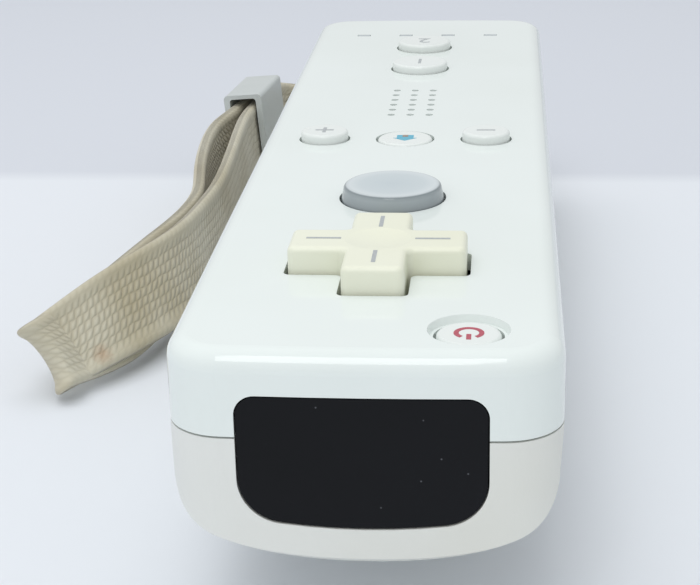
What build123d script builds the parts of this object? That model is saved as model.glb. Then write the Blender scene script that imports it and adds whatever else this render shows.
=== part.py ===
from build123d import *
from math import atan2, cos, degrees, pi, radians, sin, tan
import os

os.makedirs("parts", exist_ok=True)

# Millimetres. The wand lies buttons up: X across it, Y from the pointing end to the strap end, Z up.
# The origin is under the middle of the body, on the table.

# Body
body_length = 148.0
body_width = 36.2
body_height = 30.8
corner_radius = 5.5
end_crown = 0.6
top_edge_radius = 2.0
wall = 1.8
upper_shell_height = 8.2
seam_gap = 0.2
lip_root = 2.0
lip_rise = 0.8
lip_gap = 0.05
lip_thickness = 0.75
front_floor = 9.6
front_edge_rise = 1.2
tail_floor = 2.6
foot_sink = 0.25
slope_start = 16.0
slope_end = 47.0
tail_rise = 16.0
front_shoulder_drop = 4.5
rear_shoulder_drop = 10.0
side_draft = 0.35
cut_over = 5.0

# Window
window_width = 22.5
window_height = 12.7
window_from_top = 4.2
window_bottom_crown = 1.0
window_top_radius = 1.8
window_bottom_radius = 4.2
window_gap = 0.15
window_thickness = 1.3
window_flange = 0.8
window_set_back = 0.1
window_seat = 2.2

# Board
board_thickness = 1.0
board_from_top = 7.3
board_side_room = 0.8
board_front_room = 4.0
board_back_room = 4.0
board_corner = 2.0
board_hole_gap = 0.25

# Buttons on the top, each at its distance from the pointing end
button_gap = 0.25
flange_overlap = 1.0
flange_thickness = 0.7
flange_gap = 0.2
stem_radius = 1.8
dome_clearance = 0.3
dome_height = 2.0
dome_radius = 2.6
dome_taper = 12.0
edge_soft = 0.45
power_x = 9.4
power_from_front = 6.6
power_radius = 3.0
power_dish_radius = 3.8
power_dish_depth = 0.7
power_dish_taper = 20.0
power_sink = 0.35
pad_from_front = 24.2
pad_half_span = 8.85
pad_half_width = 3.05
pad_rise = 2.7
pad_gap = 0.4
pad_corner = 0.7
pad_edge = 0.6
pad_dish_radius = 14.0
pad_dish_depth = 0.4
pad_flange_radius = 8.0
pad_flange_thickness = 0.9
pad_flange_gap = 0.8
pad_hub_radius = 2.2
pad_hub_length = 0.5
rocker_radius = 5.6
rocker_thickness = 1.0
rocker_gap = 0.2
rocker_hub_radius = 1.5
rocker_hub_length = 0.5
mat_radius = 7.4
mat_thickness = 0.5
mat_dome_radius = 1.3
mat_dome_height = 0.2
mat_dome_place = 5.0
action_from_front = 46.75
action_radius = 5.76
action_rise = 1.62
action_draft = 12.0
row_from_front = 71.6
row_spacing = 10.15
row_radius = 2.97
row_rise = 1.15
home_radius = 3.45
home_rise = 0.15
pair_radius = 4.0
pair_rise = 1.15
one_from_front = 110.74
two_from_front = 125.04

# Speaker and player lights
grille_columns = 3
grille_rows = 6
grille_column_pitch = 2.52
grille_row_pitch = 2.7
grille_from_front = 90.4
grille_hole_radius = 0.5
speaker_radius = 9.6
speaker_height = 3.4
speaker_rim = 1.2
speaker_rim_height = 1.6
magnet_radius = 5.5
cone_depth = 1.2
cone_taper = 60.0
cone_cap_radius = 2.6
cone_cap_drop = 0.6
light_count = 4
light_pitch = 6.71
lights_from_front = 134.25
light_width = 1.9
light_depth = 0.9
light_gap = 0.08
light_strip_thickness = 1.0
light_strip_margin = 1.0
led_height = 0.6
led_width = 1.6
led_depth = 0.8

# Battery bay and cover
cell_radius = 7.1
cell_length = 49.2
cell_nub_radius = 2.6
cell_nub_length = 1.1
cell_gap = 0.4
bay_from_front = 75.0
bay_wall = 1.6
cover_wall = 1.4
cover_front_reach = 13.0
cover_rear_reach = 6.0
cover_gap = 0.15
cover_rear_gap = 0.3
cover_side_margin = 0.6
cover_height = 6.0
ledge = 1.5
hook_x = 8.0
hook_width = 5.0
hook_root = 2.4
hook_reach = 2.4
hook_thickness = 1.2
hook_lift = 0.2
hook_slot_front = 3.0
hook_slot_back = 4.2
hook_slot_top = 5.0
hook_slot_gap = 0.3
tongue_width = 8.0
tongue_thickness = 1.2
tongue_height = 5.5
tongue_inset = 2.2
tongue_gap = 0.5
contact_thickness = 0.4
contact_width = 9.0
contact_height = 9.0
spring_wire = 0.5
spring_wide = 3.2
spring_narrow = 2.2
spring_turns = 3
spring_length = 3.8
spring_gap = 0.1

# Trigger
trigger_width = 19.0
trigger_from_front = 18.6
trigger_length = 23.8
trigger_wall = 2.0
trigger_gap = 0.4
trigger_rear_gap = 1.2
trigger_root_height = 8.6
trigger_tip_height = 0.7
trigger_back_height = 7.0
trigger_top_height = 15.2
trigger_flat = 5.4
trigger_scoop_height = 6.0
pin_from_root = 2.4
pin_height = 12.6
pin_radius = 1.0
pin_play = 0.05
pin_grip = 1.6
ear_thickness = 2.2
ear_radius = 2.4
plunger_from_root = 15.4
plunger_width = 4.0
trigger_dome_height = 2.6

# Screws
screw_side_room = 5.1
screw_front_room = 14.0
screw_rear_room = 8.5
screw_radius = 0.95
screw_head_radius = 1.9
screw_head_height = 1.2
screw_seat = 15.5
screw_length = 12.7
screw_play = 0.1
screw_slot_width = 0.5
screw_slot_length = 1.3
screw_slot_depth = 0.6
boss_radius = 3.0

# Motor
motor_radius = 5.0
motor_length = 12.0
motor_x = -7.0
motor_from_bay = 14.0
motor_z = 10.8
shaft_radius = 0.75
shaft_length = 7.0
weight_radius = 4.7
weight_length = 5.0
weight_gap = 1.0
weight_play = 0.03
weight_hub_radius = 1.7
sleeve_wall = 1.0
sleeve_length = 8.0
sleeve_gap = 0.05
cradle_thickness = 1.5
cradle_spacing = 5.0

# Camera behind the window
camera_width = 10.0
camera_depth = 7.5
camera_height = 7.1
camera_from_front = 7.5
barrel_radius = 2.6
barrel_length = 2.2
camera_lens_radius = 1.7
camera_lens_length = 0.5
camera_z = 20.0

# Small parts on the board: name, x, distance from the pointing end, width, depth, height (negative: below)
board_parts = [
    ("radio_chip", 8.0, 26.0, 7.0, 7.0, -1.0),
    ("memory_chip", -9.0, 28.0, 5.0, 4.0, -0.8),
    ("crystal", -9.0, 35.0, 5.0, 3.2, -1.1),
    ("accelerometer", -10.0, 38.0, 5.0, 5.0, 1.2),
    ("inductor", 9.0, 119.0, 5.0, 5.0, 2.4),
    ("capacitor", -9.0, 119.0, 6.0, 3.4, 2.2),
]

# Tail: expansion socket, strap anchor and sync button
socket_width = 12.0
socket_height = 7.0
socket_depth = 10.3
socket_floor = 9.0
socket_wall = 1.0
socket_back_wall = 1.6
socket_gap = 0.3
socket_riser = 3.0
tongue_plate_width = 9.0
tongue_plate_thickness = 1.4
tongue_plate_drop = 0.7
tongue_plate_room = 2.0
latch_slot_x = 10.6
latch_slot_z = 14.6
latch_slot_width = 2.2
latch_slot_height = 4.0
anchor_x = -12.0
anchor_z = 9.0
anchor_width = 7.0
anchor_height = 4.0
anchor_depth = 5.2
anchor_bar_radius = 0.9
anchor_bar_inset = 1.4
anchor_wall = 1.2
sync_x = 9.2
sync_radius = 1.4
sync_bottom = 3.0
sync_seat = 5.0
sync_flange_radius = 2.2
sync_flange_thickness = 0.8
sync_hole_gap = 0.2
sync_stem_radius = 1.0
sync_switch_height = 2.3
sync_recess_height = 3.0
sync_lift = 0.3

# Strap: two layers of webbing side by side, folded at their far end, on a cord
cord_diameter = 1.6
bar_clearance = 0.3
webbing_width = 12.0
webbing_thickness = 1.5
layer_pitch = 2.2
fold_pitch = 2.3
fold_width = 9.8
fold_lean = 37.0
fold_steps = 6
fold_from_tail = -88.4
slider_length = 14.5
slider_from_tail = 1.0
slider_straight = 18.0
slider_x = -31.65
slider_z = 10.1
slider_lean = 5.0
slider_turn = 6.0
slider_inner_width = 4.6
slider_inner_height = 14.2
slider_wall = 1.0
slider_top = 0.7
slider_base = 2.3
slider_corner = 0.7
slider_mouth_corner = 0.5
ferrule_start_x = -8.0
ferrule_length = 10.0
ferrule_from_tail = 23.1
ferrule_z = 7.8
ferrule_wide_height = 13.8
ferrule_wide_depth = 6.2
ferrule_narrow_height = 5.2
ferrule_narrow_depth = 5.0
ferrule_corner = 1.2
ferrule_half_pitch = 1.1
bar_turn_radius = 1.8

# Shares of a quarter of the belly's section that the corner curve's two handles reach
front_side_share = 0.65
front_floor_share = 0.60
rear_side_share = 0.75
rear_floor_share = 0.80
slope_shares = [(0.0, 0.92), (0.26, 0.74), (0.5, 0.43), (0.76, 0.15), (1.0, 0.014)]
front_round_shares = [(-0.8, 2.1), (0.0, 1.0), (0.8, 0.38), (2.1, 0.04), (6.7, -0.17)]
flat_shares = [0.2, 0.45, 0.75]
tail_shares = [(0.0, 0.0), (0.5, 0.36), (1.0, 1.0), (1.12, 1.3)]

# Worked out from the sizes above
half_length = body_length / 2
half_width = body_width / 2
parting_height = body_height - upper_shell_height
window_top = body_height - window_from_top
window_bottom = window_top - window_height
board_bottom = body_height - board_from_top
board_width = body_width - 2 * (wall + board_side_room)
slider_front_y = half_length - slider_from_tail
ferrule_y = half_length + ferrule_from_tail
top_skin_bottom = body_height - wall
board_top = board_bottom + board_thickness
board_front = -half_length + board_front_room
board_back = half_length - board_back_room
lower_top = parting_height - seam_gap / 2
upper_bottom = parting_height + seam_gap / 2
front_shoulder = lower_top - front_shoulder_drop
rear_shoulder = lower_top - rear_shoulder_drop
flange_top = top_skin_bottom - flange_gap
flange_bottom = flange_top - flange_thickness
dome_top = board_top + dome_height
stem_bottom = dome_top + dome_clearance
floor_inside = wall - foot_sink
power_y = -half_length + power_from_front
pad_y = -half_length + pad_from_front
action_y = -half_length + action_from_front
row_y = -half_length + row_from_front
one_y = -half_length + one_from_front
two_y = -half_length + two_from_front
grille_y = -half_length + grille_from_front
lights_y = -half_length + lights_from_front
screw_front_y = -half_length + screw_front_room
screw_rear_y = half_length - screw_rear_room
screw_x = half_width - screw_side_room
bay_front = -half_length + bay_from_front
motor_y = bay_front - motor_from_bay
bay_width = 4 * cell_radius + 2 * cell_gap
bay_length = cell_length + cell_nub_length + spring_length + 2 * contact_thickness + spring_gap
bay_back = bay_front + bay_length
cell_z = cover_wall + cell_gap + cell_radius
cell_x = cell_radius + cell_gap / 2
bay_top = cell_z + cell_radius + cell_gap
cover_half_width = bay_width / 2 + cover_side_margin
cover_front = bay_front - cover_front_reach
cover_back = bay_back + cover_rear_reach
sync_y = (bay_back + bay_wall + cover_back) / 2
bay_middle = (bay_front + bay_back) / 2
spring_pitch = (spring_length - spring_wire) / spring_turns
spring_cone = degrees(atan2(spring_wide - spring_narrow, spring_length - spring_wire))
hook_top = floor_inside + hook_lift + hook_thickness
tongue_front = cover_back - tongue_inset
sleeve_radius = motor_radius + sleeve_gap + sleeve_wall
bar_y = half_length - anchor_bar_inset
socket_mouth = half_length - wall - socket_gap
socket_back = socket_mouth - socket_back_wall - socket_depth
sync_flange_bottom = sync_seat + sync_lift
pin_reach = trigger_width / 2 + trigger_gap + pin_grip
pin_tip_x = pin_reach + trigger_gap
plunger_top = board_bottom - trigger_dome_height - dome_clearance
trigger_front = -half_length + trigger_from_front
trigger_back = trigger_front + trigger_length
pin_y = trigger_front + pin_from_root


def belly_stations():
    """Places along the body, each with its floor and how far it is from the front's section."""
    stations = []
    for run_share, rise_share in front_round_shares:
        place = -half_length + front_edge_rise * run_share
        stations.append((place, front_floor + front_edge_rise * rise_share, 0.0))
    for run_share, floor_share in slope_shares:
        place = -half_length + slope_start + (slope_end - slope_start) * run_share
        stations.append((place, (front_floor + foot_sink) * floor_share - foot_sink, run_share))
    flat_start = -half_length + slope_end
    flat_end = half_length - tail_rise
    for flat_share in flat_shares:
        stations.append((flat_start + (flat_end - flat_start) * flat_share, -foot_sink, 1.0))
    for run_share, rise_share in tail_shares:
        rise = (tail_floor + foot_sink) * rise_share
        stations.append((flat_end + tail_rise * run_share, rise - foot_sink, 1.0))
    return stations


def belly(inset):
    """The lower body's form, drawn in by inset all round, up to the parting plane."""
    with BuildPart() as form:
        for place, outer_floor, share in belly_stations():
            floor = outer_floor + inset
            shoulder = front_shoulder + (rear_shoulder - front_shoulder) * share
            side_share = front_side_share + (rear_side_share - front_side_share) * share
            floor_share = front_floor_share + (rear_floor_share - front_floor_share) * share
            rim = half_width - inset
            waist = rim - side_draft
            handle = shoulder - (shoulder - floor) * side_share
            with BuildSketch(Plane.XZ.offset(-place)):
                with BuildLine():
                    Line((-rim, lower_top), (rim, lower_top))
                    Line((rim, lower_top), (waist, shoulder))
                    Bezier((waist, shoulder), (waist, handle), (waist * floor_share, floor), (0, floor))
                    Bezier((0, floor), (-waist * floor_share, floor), (-waist, handle), (-waist, shoulder))
                    Line((-waist, shoulder), (-rim, lower_top))
                make_face()
        loft()
    return form.part


def plan(inset, bottom, top):
    """A block of the body's plan outline, drawn in by inset, between two heights."""
    side = half_width - inset
    end = half_length - inset
    with BuildPart() as block:
        with BuildSketch(Plane.XY.offset(bottom)) as outline:
            with BuildLine():
                ThreePointArc((-side, end - end_crown), (0, end), (side, end - end_crown))
                Line((side, end - end_crown), (side, end_crown - end))
                ThreePointArc((side, end_crown - end), (0, -end), (-side, end_crown - end))
                Line((-side, end_crown - end), (-side, end - end_crown))
            make_face()
            fillet(outline.vertices(), corner_radius - inset)
        extrude(amount=top - bottom)
    return block.part


def window_block(grow, front, back):
    """The window's outline, grown by grow, through a stretch of the body's length."""
    side = window_width / 2 + grow
    top = window_top + grow
    low = window_bottom - grow
    with BuildPart() as block:
        with BuildSketch(Plane.XZ.offset(-front)) as outline:
            with BuildLine():
                ThreePointArc((-side, low + window_bottom_crown), (0, low), (side, low + window_bottom_crown))
                Line((side, low + window_bottom_crown), (side, top))
                Line((side, top), (-side, top))
                Line((-side, top), (-side, low + window_bottom_crown))
            make_face()
            fillet(outline.vertices().group_by(Axis.Y)[-1], window_top_radius + grow)
            fillet(outline.vertices().group_by(Axis.Y)[0], window_bottom_radius + grow)
        extrude(amount=front - back)
    return block.part


def box(low, high, mode=Mode.ADD):
    """A plain box between two corners, in the part being built."""
    size = [b - a for a, b in zip(low, high)]
    middle = [(a + b) / 2 for a, b in zip(low, high)]
    with Locations(tuple(middle)):
        Box(*size, mode=mode)


def peg(plane, radius, length, mode=Mode.ADD):
    """A round peg that stands on a plane, in the part being built."""
    with BuildSketch(plane) as disc:
        Circle(radius)
    extrude(disc.sketch, amount=length, mode=mode)


def upright(x, y, bottom, top, radius, mode=Mode.ADD):
    peg(Plane((x, y, bottom)), radius, top - bottom, mode)


def lengthwise(x, z, front, back, radius, mode=Mode.ADD):
    peg(Plane((x, front, z), z_dir=(0, 1, 0)), radius, back - front, mode)


def crosswise(y, z, left, right, radius, mode=Mode.ADD):
    peg(Plane((left, y, z), z_dir=(1, 0, 0)), radius, right - left, mode)


def cross_outline(half_span, arm_half_width):
    """The direction pad's cross."""
    with BuildSketch() as cross:
        Rectangle(2 * half_span, 2 * arm_half_width)
        Rectangle(2 * arm_half_width, 2 * half_span)
        fillet(cross.vertices(), pad_corner)
    return cross.sketch


def save(block, name):
    """Label a finished piece and write it."""
    block.part.label = name
    export_step(block.part, "parts/" + name + ".step")


# Screw places
screw_places = [(x, y) for x in (-screw_x, screw_x) for y in (screw_front_y, screw_rear_y)]

# Round buttons: name, place, radius, how far the cap stands above the top
round_buttons = [
    ("power_button", power_x, power_y, power_radius, -power_sink),
    ("a_button", 0.0, action_y, action_radius, action_rise),
    ("plus_button", -row_spacing, row_y, row_radius, row_rise),
    ("home_button", 0.0, row_y, home_radius, home_rise),
    ("minus_button", row_spacing, row_y, row_radius, row_rise),
    ("one_button", 0.0, one_y, pair_radius, pair_rise),
    ("two_button", 0.0, two_y, pair_radius, pair_rise),
]
light_places = [(light_pitch * (i - (light_count - 1) / 2), lights_y) for i in range(light_count)]

# Upper shell
upper_hollow = plan(wall, upper_bottom - cut_over, top_skin_bottom)
window_hole = window_block(window_gap, -half_length - cut_over, -half_length + corner_radius)
with BuildPart() as upper_shell:
    add(plan(0, upper_bottom, body_height))
    fillet(upper_shell.faces().sort_by(Axis.Z)[-1].edges(), top_edge_radius)
    add(upper_hollow, mode=Mode.SUBTRACT)
    add(window_hole, mode=Mode.SUBTRACT)
    with BuildSketch(Plane.XY.offset(board_top + screw_play)):
        with Locations(*screw_places):
            Circle(boss_radius)
    extrude(until=Until.NEXT)
    with BuildSketch(Plane.XY.offset(board_top)):
        with Locations(*screw_places):
            Circle(screw_radius + screw_play)
    extrude(amount=screw_seat + screw_length + screw_play - board_top, mode=Mode.SUBTRACT)
    for name, x, y, radius, rise in round_buttons:
        with BuildSketch(Plane.XY.offset(top_skin_bottom - cut_over)):
            with Locations((x, y)):
                Circle(radius + button_gap)
        extrude(amount=wall + 2 * cut_over, mode=Mode.SUBTRACT)
    with BuildSketch(Plane.XY.offset(body_height)):
        with Locations((power_x, power_y)):
            Circle(power_dish_radius)
    extrude(amount=-power_dish_depth, taper=power_dish_taper, mode=Mode.SUBTRACT)
    with BuildSketch(Plane.XY.offset(top_skin_bottom - cut_over)):
        with Locations((0, pad_y)):
            add(cross_outline(pad_half_span + pad_gap, pad_half_width + pad_gap))
    extrude(amount=wall + 2 * cut_over, mode=Mode.SUBTRACT)
    with BuildSketch(Plane.XY.offset(top_skin_bottom - cut_over)):
        with Locations((0, grille_y)):
            with GridLocations(grille_column_pitch, grille_row_pitch, grille_columns, grille_rows):
                Circle(grille_hole_radius)
    extrude(amount=wall + 2 * cut_over, mode=Mode.SUBTRACT)
    with BuildSketch(Plane.XY.offset(top_skin_bottom - cut_over)):
        with Locations(*light_places):
            Rectangle(light_width + 2 * light_gap, light_depth + 2 * light_gap)
    extrude(amount=wall + 2 * cut_over, mode=Mode.SUBTRACT)
save(upper_shell, "upper_shell")

# Lower shell
lower_room = belly(0) & plan(0, 0, lower_top + cut_over)
tall_room = lower_room + plan(wall, lower_top, board_bottom)
belly_inside = belly(wall)
belly_over_cover = belly(cover_wall + cover_gap)
cover_low = (-cover_half_width, cover_front, -cut_over)
cover_high = (cover_half_width, cover_back, cover_height)

with BuildPart() as ledge_part:
    box((-cover_half_width - ledge, cover_front - ledge, 0), (cover_half_width + ledge, bay_front, lower_top))
    box((-cover_half_width - ledge, bay_back, 0), (cover_half_width + ledge, cover_back + ledge, lower_top))
    add(belly_over_cover, mode=Mode.INTERSECT)
    add(belly(cover_wall + cover_gap + ledge), mode=Mode.SUBTRACT)

with BuildPart() as cover_pocket:
    box(
        (-cover_half_width - cover_gap, cover_front - cover_gap, -cut_over),
        (cover_half_width + cover_gap, cover_back + cover_rear_gap, cover_height + cover_gap),
    )
    add(belly_over_cover, mode=Mode.SUBTRACT)

with BuildPart() as seam_lip:
    add(plan(wall - window_gap, lower_top - lip_root, lower_top))
    add(plan(wall + lip_gap, lower_top, lower_top + lip_rise))
    add(plan(wall + lip_gap + lip_thickness, 0, body_height), mode=Mode.SUBTRACT)

motor_back = motor_y + motor_length
cradle_middle = motor_y + motor_length / 2
cradle_half_width = motor_radius + sleeve_wall + cradle_thickness
with BuildPart() as lower_inside:
    box((-half_width, bay_front - bay_wall, 0), (half_width, bay_back + bay_wall, bay_top + bay_wall))
    for x, y in screw_places:
        upright(x, y, 0, board_bottom, boss_radius)
    for side in (-1, 1):
        near_x = side * (trigger_width / 2 + trigger_gap)
        far_x = near_x + side * ear_thickness
        left, right = sorted((near_x, far_x))
        box((left, pin_y - ear_radius, 0), (right, pin_y + ear_radius, pin_height))
        crosswise(pin_y, pin_height, left, right, ear_radius)
        middle = cradle_middle + side * cradle_spacing / 2
        box(
            (motor_x - cradle_half_width, middle - cradle_thickness / 2, 0),
            (motor_x + cradle_half_width, middle + cradle_thickness / 2, motor_z),
        )
    box(
        (
            anchor_x - anchor_width / 2 - anchor_wall,
            half_length - anchor_depth - anchor_wall,
            anchor_z - anchor_height / 2 - anchor_wall,
        ),
        (anchor_x + anchor_width / 2 + anchor_wall, half_length, anchor_z + anchor_height / 2 + anchor_wall),
    )
    upright(sync_x, sync_y, 0, sync_seat, sync_flange_radius + sync_hole_gap + anchor_wall)
    add(tall_room, mode=Mode.INTERSECT)

with BuildPart() as lower_shell:
    add(lower_room)
    add(belly_inside & plan(wall - lip_gap, -cut_over, lower_top), mode=Mode.SUBTRACT)
    add(lower_inside)
    add(ledge_part)
    add(seam_lip)
    add(cover_pocket, mode=Mode.SUBTRACT)
    box((-bay_width / 2, bay_front, -cut_over), (bay_width / 2, bay_back, bay_top), Mode.SUBTRACT)
    box(
        (-trigger_width / 2 - trigger_gap, trigger_front - trigger_gap, -cut_over),
        (trigger_width / 2 + trigger_gap, trigger_back + trigger_rear_gap, trigger_top_height),
        Mode.SUBTRACT,
    )
    crosswise(pin_y, pin_height, -pin_tip_x, pin_tip_x, pin_radius + pin_play, Mode.SUBTRACT)
    lengthwise(motor_x, motor_z, motor_y, motor_back, sleeve_radius + sleeve_gap, Mode.SUBTRACT)
    for x in (-hook_x, hook_x):
        left = x - hook_width / 2 - hook_slot_gap
        right = x + hook_width / 2 + hook_slot_gap
        slot_back = cover_front + hook_slot_back
        box((left, cover_front - cover_gap, -cut_over), (right, slot_back, hook_slot_top), Mode.SUBTRACT)
        slot_front = cover_front - hook_slot_front
        box((left, slot_front, floor_inside), (right, slot_back, hook_slot_top), Mode.SUBTRACT)
    box(
        (-tongue_width / 2 - tongue_gap, tongue_front - tongue_gap, -cut_over),
        (tongue_width / 2 + tongue_gap, tongue_front + tongue_thickness + tongue_gap, hook_slot_top),
        Mode.SUBTRACT,
    )
    upright(sync_x, sync_y, 0, sync_seat, sync_radius + sync_hole_gap, Mode.SUBTRACT)
    upright(
        sync_x, sync_y, sync_seat, sync_seat + sync_recess_height,
        sync_flange_radius + sync_hole_gap, Mode.SUBTRACT,
    )
    for x, y in screw_places:
        upright(x, y, -cut_over, screw_seat, screw_head_radius + board_hole_gap, Mode.SUBTRACT)
        upright(x, y, screw_seat, board_bottom, screw_radius + screw_play, Mode.SUBTRACT)
    box(
        (anchor_x - anchor_width / 2, half_length - anchor_depth, anchor_z - anchor_height / 2),
        (anchor_x + anchor_width / 2, half_length + cut_over, anchor_z + anchor_height / 2),
        Mode.SUBTRACT,
    )
    upright(anchor_x, bar_y, anchor_z - anchor_height / 2, anchor_z + anchor_height / 2, anchor_bar_radius)
    box(
        (-socket_width / 2 - socket_gap, socket_back, socket_floor - socket_gap),
        (socket_width / 2 + socket_gap, half_length + cut_over, socket_floor + socket_height + socket_gap),
        Mode.SUBTRACT,
    )
    for x in (-latch_slot_x, latch_slot_x):
        box(
            (x - latch_slot_width / 2, half_length - corner_radius, latch_slot_z - latch_slot_height / 2),
            (x + latch_slot_width / 2, half_length + cut_over, latch_slot_z + latch_slot_height / 2),
            Mode.SUBTRACT,
        )
    add(window_hole, mode=Mode.SUBTRACT)
    add(
        window_block(window_flange + window_gap, -half_length + wall, -half_length + wall + window_seat),
        mode=Mode.SUBTRACT,
    )
save(lower_shell, "lower_shell")

# Battery cover, hooked in front and held by a tongue behind
with BuildPart() as battery_cover:
    box(cover_low, cover_high)
    add(lower_room, mode=Mode.INTERSECT)
    add(belly(cover_wall), mode=Mode.SUBTRACT)
    for x in (-hook_x, hook_x):
        left = x - hook_width / 2
        right = x + hook_width / 2
        box((left, cover_front, foot_sink), (right, cover_front + hook_root, hook_top))
        box((left, cover_front - hook_reach, hook_top - hook_thickness), (right, cover_front, hook_top))
    box(
        (-tongue_width / 2, tongue_front, foot_sink),
        (tongue_width / 2, tongue_front + tongue_thickness, tongue_height),
    )
save(battery_cover, "battery_cover")

# Cells, contacts and coil contacts; the left cell points forward and the right one back
for name, side in (("left", -1), ("right", 1)):
    x = side * cell_x
    nub_end = bay_middle + side * (bay_length / 2 - contact_thickness)
    body_end = nub_end - side * cell_nub_length
    far_end = body_end - side * cell_length
    with BuildPart() as cell:
        lengthwise(x, cell_z, min(body_end, far_end), max(body_end, far_end), cell_radius)
        fillet(cell.edges(), edge_soft)
        lengthwise(x, cell_z, min(nub_end, body_end), max(nub_end, body_end), cell_nub_radius)
    save(cell, "battery_cell_" + name)

    plate_start = far_end - side * (spring_length + spring_gap)
    with BuildPart() as coil:
        with BuildLine() as turns:
            Helix(
                spring_pitch,
                spring_pitch * spring_turns,
                spring_wide,
                center=(x, plate_start + side * spring_wire / 2, cell_z),
                direction=(0, side, 0),
                cone_angle=-spring_cone,
            )
        with BuildSketch(Plane(turns.line @ 0, z_dir=turns.line % 0)):
            Circle(spring_wire / 2)
        sweep(is_frenet=True)
    save(coil, "contact_spring_" + name)

for name, side in (("left", -1), ("right", 1)):
    x = side * cell_x
    with BuildPart() as contact:
        box(
            (x - contact_width / 2, bay_front, cell_z - contact_height / 2),
            (x + contact_width / 2, bay_front + contact_thickness, cell_z + contact_height / 2),
        )
    save(contact, "front_contact_" + name)

with BuildPart() as rear_bridge:
    box(
        (-cell_x - contact_width / 2, bay_back - contact_thickness, cell_z - contact_height / 2),
        (cell_x + contact_width / 2, bay_back, cell_z + contact_height / 2),
    )
save(rear_bridge, "rear_bridge")

# Window and the camera behind it
window_room = (belly(wall + window_gap) & plan(wall, 0, lower_top)) + plan(wall, lower_top, top_skin_bottom)
window_back = plan(window_thickness + wall, 0, body_height)
window_front = -half_length - cut_over
window_rear = -half_length + corner_radius
with BuildPart() as window_rim:
    add(window_block(window_flange, window_front, window_rear))
    add(window_room, mode=Mode.INTERSECT)
with BuildPart() as ir_window:
    add(window_block(0, window_front, window_rear))
    add(plan(window_set_back, 0, body_height), mode=Mode.INTERSECT)
    add(window_rim)
    add(window_back, mode=Mode.SUBTRACT)
save(ir_window, "ir_window")

camera_front = -half_length + camera_from_front
with BuildPart() as ir_camera:
    box(
        (-camera_width / 2, camera_front, board_bottom - camera_height),
        (camera_width / 2, camera_front + camera_depth, board_bottom),
    )
    lengthwise(0, camera_z, camera_front - barrel_length, camera_front, barrel_radius)
    lengthwise(
        0, camera_z, camera_front - barrel_length, camera_front - barrel_length + camera_lens_length,
        camera_lens_radius, Mode.SUBTRACT,
    )
save(ir_camera, "ir_camera")

# Board and what is soldered to it
with BuildPart() as main_board:
    with BuildSketch(Plane.XY.offset(board_bottom)):
        with Locations((0, (board_front + board_back) / 2)):
            RectangleRounded(board_width, board_back - board_front, board_corner)
        with Locations(*screw_places):
            Circle(screw_radius + board_hole_gap, mode=Mode.SUBTRACT)
    extrude(amount=board_thickness)
save(main_board, "main_board")

for name, x, from_front, width, depth, height in board_parts:
    y = -half_length + from_front
    base = board_top if height > 0 else board_bottom
    with BuildPart() as chip:
        box(
            (x - width / 2, y - depth / 2, min(base, base + height)),
            (x + width / 2, y + depth / 2, max(base, base + height)),
        )
    save(chip, name)

for i, (x, y) in enumerate(light_places):
    with BuildPart() as led:
        box(
            (x - led_width / 2, y - led_depth / 2, board_top),
            (x + led_width / 2, y + led_depth / 2, board_top + led_height),
        )
    save(led, "player_led_" + str(i + 1))

with BuildPart() as light_guides:
    with BuildSketch(Plane.XY.offset(top_skin_bottom)):
        with Locations((0, lights_y)):
            Rectangle(
                (light_count - 1) * light_pitch + light_width + 2 * light_strip_margin,
                light_depth + 2 * light_strip_margin,
            )
    extrude(amount=-light_strip_thickness)
    with BuildSketch(Plane.XY.offset(top_skin_bottom)):
        with Locations(*light_places):
            Rectangle(light_width, light_depth)
    extrude(amount=wall)
save(light_guides, "light_guides")

# Speaker: magnet, basket and a sunk cone, under a foam ring
speaker_top = board_top + speaker_height
basket_bottom = speaker_top - speaker_rim_height
with BuildPart() as speaker:
    upright(0, grille_y, board_top, basket_bottom, magnet_radius)
    upright(0, grille_y, basket_bottom, speaker_top, speaker_radius)
    with BuildSketch(Plane.XY.offset(speaker_top)):
        with Locations((0, grille_y)):
            Circle(speaker_radius - speaker_rim)
    extrude(amount=-cone_depth, taper=cone_taper, mode=Mode.SUBTRACT)
    upright(0, grille_y, basket_bottom, speaker_top - cone_cap_drop, cone_cap_radius)
save(speaker, "speaker")

with BuildPart() as speaker_gasket:
    with BuildSketch(Plane.XY.offset(speaker_top)):
        with Locations((0, grille_y)):
            Circle(speaker_radius)
            Circle(speaker_radius - speaker_rim, mode=Mode.SUBTRACT)
    extrude(until=Until.NEXT, target=upper_shell.part)
save(speaker_gasket, "speaker_gasket")

# Round buttons with their rubber domes
for name, x, y, radius, rise in round_buttons:
    drafted = name == "a_button"
    with BuildPart() as button:
        upright(x, y, stem_bottom, flange_bottom, stem_radius)
        upright(x, y, flange_bottom, flange_top, radius + flange_overlap)
        upright(x, y, flange_top, body_height if drafted else body_height + rise, radius)
        if drafted:
            with BuildSketch(Plane.XY.offset(body_height)):
                with Locations((x, y)):
                    Circle(radius)
            extrude(amount=rise, taper=action_draft)
        fillet(button.faces().sort_by(Axis.Z)[-1].edges(), edge_soft)
    save(button, name)
    with BuildPart() as dome:
        with BuildSketch(Plane.XY.offset(board_top)):
            with Locations((x, y)):
                Circle(dome_radius)
        extrude(amount=dome_height, taper=dome_taper)
    save(dome, name.replace("button", "dome"))

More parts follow.
